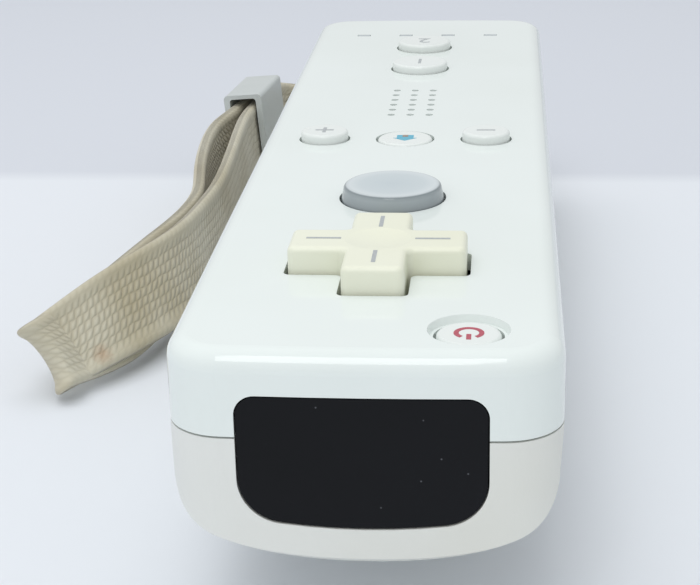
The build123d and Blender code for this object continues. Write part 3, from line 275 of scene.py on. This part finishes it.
def knittedBraid():
    # Tubular knitted polyester: rows of small raised stitches, a smooth rounded edge, handling grime; the
    # colour follows the stitch relief, with painted shade between stitches and rows and lighter raised
    # stitches
    material, tree, shader, place = startMaterial("knittedBraid", knit["surface"])
    layout = addNode(tree, "ShaderNodeUVMap", {"uv_map": "UVMap"})  # U along and V across the strap, in mm
    sway = addNode(tree, "ShaderNodeTexNoise", knit["sway"], {"Vector": place})
    uneven = addNode(tree, "ShaderNodeVectorMath", {"operation": "SCALE", "Scale": knit["swayMm"]},
                     {0: sway.outputs["Color"]})
    swayed = addNode(tree, "ShaderNodeVectorMath", {"operation": "ADD"},
                     {0: layout.outputs[0], 1: uneven.outputs[0]})
    split = addNode(tree, "ShaderNodeSeparateXYZ", links={0: swayed.outputs[0]})
    row = addNode(tree, "ShaderNodeMath", {"operation": "DIVIDE", 1: knit["rowMm"]}, {0: split.outputs[1]})
    rowNumber = addNode(tree, "ShaderNodeMath", {"operation": "FLOOR"}, {0: row.outputs[0]})
    shift = addNode(tree, "ShaderNodeMath", {"operation": "MULTIPLY", 1: knit["rowShift"]},
                    {0: rowNumber.outputs[0]})
    along = addNode(tree, "ShaderNodeMath", {"operation": "DIVIDE", 1: knit["cellMm"]}, {0: split.outputs[0]})
    shifted = addNode(tree, "ShaderNodeMath", {"operation": "ADD"},
                      {0: along.outputs[0], 1: shift.outputs[0]})
    acrossWave = addNode(tree, "ShaderNodeMath", {"operation": "FRACT"}, {0: row.outputs[0]})
    slanted = addNode(tree, "ShaderNodeMath", {"operation": "MULTIPLY_ADD", 1: knit["slant"]},
                      {0: acrossWave.outputs[0], 2: shifted.outputs[0]})
    alongWave = addNode(tree, "ShaderNodeMath", {"operation": "FRACT"}, {0: slanted.outputs[0]})
    humps = []
    for wave in (alongWave, acrossWave):
        turn = addNode(tree, "ShaderNodeMath", {"operation": "MULTIPLY", 1: pi}, {0: wave.outputs[0]})
        humps.append(addNode(tree, "ShaderNodeMath", {"operation": "SINE"}, {0: turn.outputs[0]}))
    soft = addNode(tree, "ShaderNodeMath", {"operation": "POWER", 1: knit["rowSoftness"]},
                   {0: humps[1].outputs[0]})
    stitch = addNode(tree, "ShaderNodeMath", {"operation": "MULTIPLY"},
                     {0: humps[0].outputs[0], 1: soft.outputs[0]})
    edgeMask = addNode(tree, "ShaderNodeUVMap", {"uv_map": "Edge"})
    edgeSplit = addNode(tree, "ShaderNodeSeparateXYZ", links={0: edgeMask.outputs[0]})
    relief = addNode(tree, "ShaderNodeMix", {"data_type": "FLOAT", 3: knit["edgeHeight"]},
                     {0: edgeSplit.outputs[0], 2: stitch.outputs[0]})
    # Colour from the relief: painted shade where the stitches dip, lighter where they rise
    tone = addNode(tree, "ShaderNodeValToRGB", {"stops": knit["stops"]}, {0: relief.outputs[0]})
    fuzz = addNode(tree, "ShaderNodeTexNoise", knit["fuzz"], {"Vector": place})
    slow = addNode(tree, "ShaderNodeTexNoise", knit["slow"], {"Vector": place})
    grime = addNode(tree, "ShaderNodeValToRGB", {"stops": knit["grime"]}, {0: slow.outputs[0]})
    dirty = addNode(tree, "ShaderNodeMix",
                    {"data_type": "RGBA", "blend_type": "MULTIPLY", 0: knit["grimeShare"]},
                    {6: tone.outputs[0], 7: grime.outputs[0]})
    # Painted shade: a ragged brown spot low on the near layer, by the fold near the table
    away = addNode(tree, "ShaderNodeVectorMath",
                   {"operation": "DISTANCE", 1: tuple(v * mm for v in shadeSpot["place"])}, {0: place})
    ragged = addNode(tree, "ShaderNodeMath", {"operation": "MULTIPLY_ADD", 1: shadeSpot["ragged"] * mm},
                     {0: fuzz.outputs[0], 2: away.outputs["Value"]})
    spread = addNode(tree, "ShaderNodeMapRange", {
        "From Min": shadeSpot["core"] * mm, "From Max": shadeSpot["reach"] * mm,
        "To Min": shadeSpot["strength"], "To Max": 0.0}, {0: ragged.outputs[0]})
    spotShaded = addNode(tree, "ShaderNodeMix", {"data_type": "RGBA", 7: toLinear(shadeSpot["colour"])},
                      {0: spread.outputs[0], 6: dirty.outputs[2]})
    hair = addNode(tree, "ShaderNodeMath", {"operation": "MULTIPLY", 1: knit["hair"]}, {0: fuzz.outputs[0]})
    height = addNode(tree, "ShaderNodeMath", {"operation": "ADD"}, {0: relief.outputs[0], 1: hair.outputs[0]})
    bump = addNode(tree, "ShaderNodeBump", {"Distance": knit["depthMm"] * mm}, {"Height": height.outputs[0]})
    connect(tree, shader, {"Base Color": spotShaded.outputs[2], "Normal": bump.outputs[0]})
    return material


# Cord material
braid = {"surface": {"IOR": 1.45, "Roughness": 0.8, "Sheen Weight": 0.2}, "strandMm": 0.7, "depthMm": 0.15,
         # Tones from the strand pattern: lighter strands, painted shade in the gaps
         "strength": 0.6, "stops": [(0.2, "#B8B4A2"), (0.8, "#8C8875")]}


def braidedCord():
    # Thin braided polyester cord: small bright strands with painted shade in the gaps between
    material, tree, shader, place = startMaterial("braidedCord", braid["surface"])
    weave = addNode(tree, "ShaderNodeTexVoronoi", {"sizeMm": braid["strandMm"]}, {"Vector": place})
    tone = addNode(tree, "ShaderNodeValToRGB", {"stops": braid["stops"]}, {0: weave.outputs["Distance"]})
    bump = addNode(tree, "ShaderNodeBump", {"Strength": braid["strength"], "Distance": braid["depthMm"] * mm},
                   {"Height": weave.outputs["Distance"]})
    connect(tree, shader, {"Base Color": tone.outputs[0], "Normal": bump.outputs[0]})
    return material


# Inks
inkFilm = {"surface": {"IOR": 1.5, "Roughness": 0.4}, "noise": {"sizeMm": 0.35, "Detail": 3.0}}
inks = {
    "greyInk": [(0.3, "#A3A8AA"), (0.75, "#B4B9BA")],
    "redInk": [(0.3, "#AE4455"), (0.75, "#BA5766")],
    "blueInk": [(0.3, "#4FA9C4"), (0.75, "#68B5CB")],
    "brownInk": [(0.3, "#8E7B6C"), (0.75, "#A39184")],
}


def printedInk(name, stops):
    # Pad-printed ink: flat, slightly broken in tone
    material, tree, shader, place = startMaterial(name, inkFilm["surface"])
    broken = addNode(tree, "ShaderNodeTexNoise", inkFilm["noise"], {"Vector": place})
    tone = addNode(tree, "ShaderNodeValToRGB", {"stops": stops}, {0: broken.outputs[0]})
    connect(tree, shader, {"Base Color": tone.outputs[0]})
    return material


# Materials on the nodes
materials = {name: mouldedPlastic(name, look) for name, look in plastics.items()}
materials["acrylicCapPaintedShade"] = acrylicCapPaintedShade()
materials.update({name: streakedMetal(name, look) for name, look in metals.items()})
materials.update({name: pressedRubber(name, stops) for name, stops in rubbers.items()})
materials["solderMask"] = solderMask()
materials["cellSleeve"] = paintedWrap()
materials["knittedBraid"] = knittedBraid()
materials["braidedCord"] = braidedCord()
materials.update({name: printedInk(name, stops) for name, stops in inks.items()})

nodeMaterials = {
    "topAbs": ["upper_shell"],
    "bottomAbs": ["lower_shell", "battery_cover", "b_trigger"],
    "windowAcrylic": ["ir_window"],
    "padAbs": ["d_pad"],
    "keyAbs": ["power_button", "plus_button", "minus_button", "home_button", "one_button", "two_button"],
    "acrylicCapPaintedShade": ["a_button"],
    "innerAbs": ["d_pad_rocker"],
    "darkNylon": ["radio_chip", "memory_chip", "ir_camera", "inductor", "expansion_socket", "speaker"],
    "sliderAcetal": ["strap_slider", "cord_ferrule"],
    "redAbs": ["sync_button"],
    "lightGuidePlastic": ["light_guides"] + ["player_led_%d" % i for i in range(1, 5)],
    "capacitorCase": ["capacitor"],
    "platedSteel": ["contact_spring_left", "contact_spring_right", "front_contact_left",
                    "front_contact_right", "rear_bridge", "rumble_motor", "crystal", "accelerometer"],
    "screwSteel": ["case_screw_%d" % i for i in range(1, 5)],
    "sinteredTungsten": ["rumble_weight"],
    "siliconeGrey": ["motor_sleeve", "d_pad_mat"] + [name for name in nodes if name.endswith("_dome")],
    "foamBlack": ["speaker_gasket"],
    "solderMask": ["main_board"],
    "cellSleeve": ["battery_cell_left", "battery_cell_right"],
}
for materialName, names in nodeMaterials.items():
    for name in names:
        for materialSlot in nodes[name].material_slots:
            materialSlot.material = materials[materialName]
print("stage: materials on nodes")


# Camera
# Fitted to the photograph: place in the wand's frame, view angles, field of view
photoCamera = {"place": (12.389, -212.205, 87.996), "pitch": 20.286, "roll": -1.353, "yaw": -5.394,
               "lens": 88.63, "clipStart": 10}
pitch, roll, yaw = (radians(photoCamera[key]) for key in ("pitch", "roll", "yaw"))
forward = Vector((sin(yaw) * cos(pitch), cos(yaw) * cos(pitch), -sin(pitch)))
level = Vector((cos(yaw), -sin(yaw), 0))
rise = level.cross(forward)
right = level * cos(roll) + rise * sin(roll)
up = rise * cos(roll) - level * sin(roll)
camera = bpy.data.objects.new("Camera", bpy.data.cameras.new("Camera"))
camera.data.lens = photoCamera["lens"]
camera.data.clip_start = photoCamera["clipStart"] * mm
camera.matrix_world = Matrix.Translation(Vector(photoCamera["place"]) * mm) @ Matrix(
    (right, up, -forward)).transposed().to_4x4()
bpy.context.collection.objects.link(camera)
bpy.context.scene.camera = camera


# Strap cord
# The route's points round the tail's bar, as in the construction, with one more on each side of the bar
strapCord = {"diameter": 1.6, "length": 126.1, "roundness": 4, "smoothness": 12, "order": 3, "route": [
    (2.0, 98.2, 7.8), (16.6, 98.2, 5.6), (16.6, 81.2, 2.0), (2.6, 82.0, 2.4), (-10.0, 81.4, 7.4),
    (-9.9, 74.5, 8.7), (-10.0, 70.6, 9.0), (-14.0, 70.6, 9.0), (-14.1, 75.0, 8.6), (-14.0, 84.4, 7.0),
    (1.4, 84.9, 2.6), (13.6, 84.1, 2.4), (13.6, 96.0, 5.8), (2.0, 96.0, 7.8)]}


def makeCord(name, look):
    curve = bpy.data.curves.new(name, "CURVE")
    curve.dimensions = "3D"
    curve.bevel_depth = look["diameter"] / 2 * mm
    curve.bevel_resolution = look["roundness"]
    curve.resolution_u = look["smoothness"]
    curve.use_fill_caps = True
    spline = curve.splines.new("NURBS")
    spline.points.add(len(look["route"]) - 1)
    for point, place in zip(spline.points, look["route"]):
        point.co = (*(Vector(place) * mm), 1)
    spline.order_u = look["order"]
    spline.use_endpoint_u = True
    cord = bpy.data.objects.new(name, curve)
    bpy.context.collection.objects.link(cord)
    return cord


cord = makeCord("wristCord", strapCord)
cord.data.materials.append(materials["braidedCord"])
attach(cord, "housing")
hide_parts("strap_cord")
print("stage: cord")


# Webbing
# Stations from the ferrule to the fold and back: place in mm, and the top's lean from the wand in degrees
# Across the strap: a thicker rounded edge, then a flat knitted middle
webbing = {
    "width": 12.0, "thickness": 1.5, "foldWidth": 9.8, "foldPitch": 2.3, "foldLean": 37.0, "foldSteps": 6,
    "foldMiddle": (-44.9, -14.4, 5.5), "foldHeading": (-0.5, -0.86, -0.08), "length": 260.6,
    "foldDip": 1.7, "dipBefore": 0.08, "dipBeside": 0.3, "dipAtEnds": 0.6,
    "edgeFrom": 0.7, "edgeSmooth": 0.75, "dipSmooth": 0.6, "sideShift": 20,
    "viewLevels": 2, "renderLevels": 3,
    "across": [-1.0, -0.95, -0.86, -0.76, -0.66, -0.4, -0.13, 0.13, 0.4, 0.66, 0.76, 0.86, 0.95, 1.0],
    "swell": [0.4, 1.02, 1.25, 1.15, 0.88, 0.94, 0.98, 0.98, 0.94, 0.88, 1.15, 1.25, 1.02, 0.4],
    "near": [
        (-8.0, 96.0, 7.8, 0), (-17.0, 96.0, 7.5, 0), (-23.0, 96.0, 7.6, 1), (-26.4, 95.5, 8.2, 3),
        (-28.2, 93.6, 9.0, 5), (-28.66, 91.0, 10.1, 5), (-30.66, 72.0, 10.1, 5), (-31.0, 65.8, 9.9, 5),
        (-30.3, 50.3, 9.2, 5), (-29.8, 35.2, 8.5, 6), (-30.4, 26.3, 8.2, 9), (-30.9, 15.4, 8.2, 16),
        (-32.6, 6.8, 8.3, 27), (-37.0, -2.4, 7.8, 37), (-41.2, -9.2, 6.7, 39)],
    "far": [
        (-42.6, -8.6, 5.1, 39), (-39.6, -3.0, 5.4, 39), (-38.0, 2.6, 5.9, 34), (-34.8, 13.7, 6.9, 27),
        (-33.4, 18.9, 7.3, 18), (-32.5, 25.6, 7.7, 10), (-32.3, 32.5, 8.2, 7), (-34.2, 41.5, 8.7, 5),
        (-35.4, 53.9, 9.2, 5), (-35.4, 65.0, 9.8, 5), (-32.86, 72.0, 10.1, 5), (-30.86, 91.0, 10.1, 5),
        (-30.4, 94.6, 9.0, 5), (-28.3, 97.4, 8.1, 3), (-24.8, 98.2, 7.6, 1), (-17.0, 98.2, 7.5, 0),
        (-8.0, 98.2, 7.8, 0)],
}


def widthDirection(heading, lean):
    toward = 1 if heading.y <= 0 else -1
    side = Vector((heading.y, -heading.x, 0)).normalized() * toward
    raised = side * sin(radians(lean)) + Vector((0, 0, cos(radians(lean))))
    return (raised - heading * raised.dot(heading)).normalized()


def layerFrames(stations, before, after):
    points = [Vector(station[:3]) for station in stations]
    run = [points[0] - before] + points + [points[-1] + after]
    frames = []
    for i, station in enumerate(stations):
        heading = (run[i + 2] - run[i]).normalized()
        frames.append((points[i], heading, widthDirection(heading, station[3])))
    return frames


def webbingFrames():
    heading = Vector(webbing["foldHeading"]).normalized()
    foldUp = widthDirection(heading, webbing["foldLean"])
    foldOut = foldUp.cross(heading)
    near = layerFrames(webbing["near"], Vector((-1, 0, 0)), heading)
    far = layerFrames(webbing["far"], -heading, Vector((1, 0, 0)))
    narrow = (webbing["width"] + webbing["foldWidth"]) / 2
    frames = [(*item, webbing["width"], 0.0) for item in near[:-2]]
    frames += [(*near[-2], webbing["width"], webbing["dipBefore"]), (*near[-1], narrow, webbing["dipBeside"])]
    for i in range(webbing["foldSteps"] + 1):
        turn = pi * i / webbing["foldSteps"]
        reach = (heading * sin(turn) - foldOut * cos(turn)) * webbing["foldPitch"] / 2
        tangent = heading * cos(turn) + foldOut * sin(turn)
        dip = webbing["dipAtEnds"] + (1 - webbing["dipAtEnds"]) * sin(turn)
        frames.append((Vector(webbing["foldMiddle"]) + reach, tangent, foldUp, webbing["foldWidth"], dip))
    frames += [(*far[0], narrow, webbing["dipBeside"]), (*far[1], webbing["width"], webbing["dipBefore"])]
    frames += [(*item, webbing["width"], 0.0) for item in far[2:]]
    return frames, heading


def makeWebbing():
    across, swell = webbing["across"], webbing["swell"]
    frames, foldHeading = webbingFrames()
    mesh = bmesh.new()
    stitches = mesh.loops.layers.uv.new("UVMap")
    edges = mesh.loops.layers.uv.new("Edge")
    rings = []
    travelled = 0.0
    last = frames[0][0]
    for place, heading, widthUp, width, dip in frames:
        travelled += (place - last).length
        last = place
        out = widthUp.cross(heading)
        ring = []
        for side, order in ((1, range(len(across))), (-1, reversed(range(len(across))))):
            for i in order:
                drawn = -foldHeading * webbing["foldDip"] * dip * (1 - across[i] ** 2)
                offset = widthUp * across[i] * width / 2 + out * side * swell[i] * webbing["thickness"] / 2
                vertex = mesh.verts.new((place + offset + drawn) * mm)
                edge = max(webbing["edgeSmooth"] if abs(across[i]) > webbing["edgeFrom"] else 0.0,
                           webbing["dipSmooth"] * dip)
                crossed = across[i] * webbing["width"] / 2 + side * webbing["sideShift"]
                ring.append((vertex, travelled, crossed, edge))
        rings.append(ring)
    count = len(rings[0])
    for lower, upper in zip(rings, rings[1:]):
        for i in range(count):
            corners = [lower[i], lower[(i + 1) % count], upper[(i + 1) % count], upper[i]]
            face = mesh.faces.new([corner[0] for corner in corners])
            face.smooth = True
            for loop, corner in zip(face.loops, corners):
                loop[stitches].uv = (corner[1], corner[2])
                loop[edges].uv = (corner[3], 0)
    mesh.faces.new([corner[0] for corner in reversed(rings[0])])
    mesh.faces.new([corner[0] for corner in rings[-1]])
    data = bpy.data.meshes.new("wristWebbing")
    bmesh.ops.recalc_face_normals(mesh, faces=mesh.faces)
    mesh.to_mesh(data)
    mesh.free()
    strap = bpy.data.objects.new("wristWebbing", data)
    bpy.context.collection.objects.link(strap)
    smoothing = strap.modifiers.new("smoothing", "SUBSURF")
    smoothing.levels = webbing["viewLevels"]
    smoothing.render_levels = webbing["renderLevels"]
    return strap


strap = makeWebbing()
strap.data.materials.append(materials["knittedBraid"])
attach(strap, "housing")
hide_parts("strap_webbing")
print("stage: webbing")


# Printed marks
marks = {"film": 0.02, "lift": 0.012, "plusSpan": 2.3, "lineWidth": 0.42,
         "ringOuter": 1.4, "ringInner": 0.93, "ringGap": 70, "ringSteps": 24,
         "strokeWidth": 0.45, "strokeLength": 1.3, "strokePlace": 0.95,
         "roofHalf": 1.5, "wallHalf": 1.05, "roofTop": 1.45, "eaves": 0.15, "houseFoot": -1.2,
         "doorHalf": 0.35, "doorTop": -0.3, "doorLift": 0.015,
         "digitSize": 4.2, "padLineLength": 3.5, "padLinePlace": 5.45}


def inkPiece(name, outlines, x, y, z, material, body):
    # Flat ink shape from closed outlines in mm, upright for a hand behind the wand
    curve = bpy.data.curves.new(name, "CURVE")
    curve.dimensions = "2D"
    curve.fill_mode = "BOTH"
    curve.extrude = marks["film"] / 2 * mm
    for outline in outlines:
        spline = curve.splines.new("POLY")
        spline.points.add(len(outline) - 1)
        for point, (px, py) in zip(spline.points, outline):
            point.co = ((x - px) * mm, (y - py) * mm, 0, 1)
        spline.use_cyclic_u = True
    piece = bpy.data.objects.new(name, curve)
    piece.location = (0, 0, (z + marks["lift"]) * mm)
    bpy.context.collection.objects.link(piece)
    curve.materials.append(materials[material])
    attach(piece, body)


def bar(width, depth, x=0.0, y=0.0):
    return [(x - width / 2, y - depth / 2), (x + width / 2, y - depth / 2),
            (x + width / 2, y + depth / 2), (x - width / 2, y + depth / 2)]


def openRing(outer, inner, gap, steps):
    # A ring with a gap at the top, in degrees
    start = radians(90 + gap / 2)
    sweep = radians(360 - gap)
    angles = [start + sweep * i / steps for i in range(steps + 1)]
    around = [(outer * cos(a), outer * sin(a)) for a in angles]
    return around + [(inner * cos(a), inner * sin(a)) for a in reversed(angles)]


def crossShape(span, width):
    a, b = span / 2, width / 2
    return [(-a, -b), (-b, -b), (-b, -a), (b, -a), (b, -b), (a, -b),
            (a, b), (b, b), (b, a), (-b, a), (-b, b), (-a, b)]


def topOf(name):
    low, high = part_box(name)
    return (low[0] + high[0]) / 2 / mm, (low[1] + high[1]) / 2 / mm, high[2] / mm


x, y, z = topOf("plus_button")
inkPiece("plusMark", [crossShape(marks["plusSpan"], marks["lineWidth"])], x, y, z,
         "greyInk", "plus_button")
x, y, z = topOf("minus_button")
inkPiece("minusMark", [bar(marks["plusSpan"], marks["lineWidth"])], x, y, z,
         "greyInk", "minus_button")
x, y, z = topOf("power_button")
ring = openRing(marks["ringOuter"], marks["ringInner"], marks["ringGap"], marks["ringSteps"])
stroke = bar(marks["strokeWidth"], marks["strokeLength"], 0, marks["strokePlace"])
inkPiece("powerMark", [ring, stroke], x, y, z, "redInk", "power_button")
x, y, z = topOf("home_button")
roof, side, eaves, foot = marks["roofHalf"], marks["wallHalf"], marks["eaves"], marks["houseFoot"]
jamb, lintel = marks["doorHalf"], marks["doorTop"]
house = [(0, marks["roofTop"]), (roof, eaves), (side, eaves), (side, foot), (-side, foot), (-side, eaves),
         (-roof, eaves)]
doorway = [(-jamb, foot), (-jamb, lintel), (jamb, lintel), (jamb, foot)]
inkPiece("homeMark", [house], x, y, z, "blueInk", "home_button")
inkPiece("homeDoorMark", [doorway], x, y, z + marks["doorLift"], "brownInk", "home_button")
for digit, button in (("1", "one_button"), ("2", "two_button")):
    x, y, z = topOf(button)
    text = bpy.data.curves.new("digitMark" + digit, "FONT")
    text.body = digit
    text.size = marks["digitSize"] * mm
    text.extrude = marks["film"] / 2 * mm
    text.align_x = "CENTER"
    text.align_y = "CENTER"
    number = bpy.data.objects.new("digitMark" + digit, text)
    number.location = (x * mm, y * mm, (z + marks["lift"]) * mm)
    number.rotation_euler = (0, 0, pi)
    bpy.context.collection.objects.link(number)
    text.materials.append(materials["greyInk"])
    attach(number, button)
x, y, z = topOf("d_pad")
length, place, width = marks["padLineLength"], marks["padLinePlace"], marks["lineWidth"]
padLines = [bar(width, length, 0, place), bar(width, length, 0, -place), bar(length, width, place, 0),
            bar(length, width, -place, 0)]
inkPiece("padLineMarks", padLines, x, y, z, "greyInk", "d_pad")
print("stage: marks")


# Floor and light
room = {"size": 4000, "edgeY": 84.5, "edgeSoft": 3.0, "near": "#E2E6EB", "far": "#D3D7DE",
        "surface": {"Roughness": 0.7, "IOR": 1.45}, "worldColour": "#ECEEF1", "worldStrength": 0.76}


def floorMaterial():
    # Matt pale board that turns a tone greyer behind the wand
    material, tree, shader, place = startMaterial("paleBoard", room["surface"])
    split = addNode(tree, "ShaderNodeSeparateXYZ", links={0: place})
    depth = addNode(tree, "ShaderNodeMapRange", {"From Min": (room["edgeY"] - room["edgeSoft"]) * mm,
                    "From Max": (room["edgeY"] + room["edgeSoft"]) * mm}, {0: split.outputs[1]})
    tone = addNode(tree, "ShaderNodeValToRGB", {"stops": [(0.0, room["near"]), (1.0, room["far"])]},
                   {0: depth.outputs[0]})
    connect(tree, shader, {"Base Color": tone.outputs[0]})
    return material


bpy.ops.mesh.primitive_plane_add(size=room["size"] * mm)
floor = bpy.context.object
floor.name = "floor"
floor.data.materials.append(floorMaterial())

# The strip softbox stands toward the viewer, so that its reflection runs along the top front edge
lamps = [
    {"name": "strip", "place": (-56, -400, 590), "size": (220, 400), "power": 0.8, "mirrored": True},
    {"name": "overhead", "place": (-110, 120, 600), "size": (520, 480), "power": 1.35, "mirrored": False},
    {"name": "frontFill", "place": (-160, -900, 260), "size": (700, 400), "power": 0.85, "mirrored": False},
]
for lamp in lamps:
    data = bpy.data.lights.new(lamp["name"], "AREA")
    data.shape = "RECTANGLE"
    data.size, data.size_y = (side * mm for side in lamp["size"])
    data.energy = lamp["power"]
    light = bpy.data.objects.new(lamp["name"], data)
    light.location = Vector(lamp["place"]) * mm
    light.visible_glossy = lamp["mirrored"]
    light.rotation_euler = (-light.location).to_track_quat("-Z", "Y").to_euler()
    bpy.context.collection.objects.link(light)

world = bpy.data.worlds.new("studio")
bpy.context.scene.world = world
world.use_nodes = True
world.node_tree.nodes["Background"].inputs[0].default_value = toLinear(room["worldColour"])
world.node_tree.nodes["Background"].inputs[1].default_value = room["worldStrength"]
bpy.context.scene.view_settings.view_transform = "Standard"
print("stage: room")
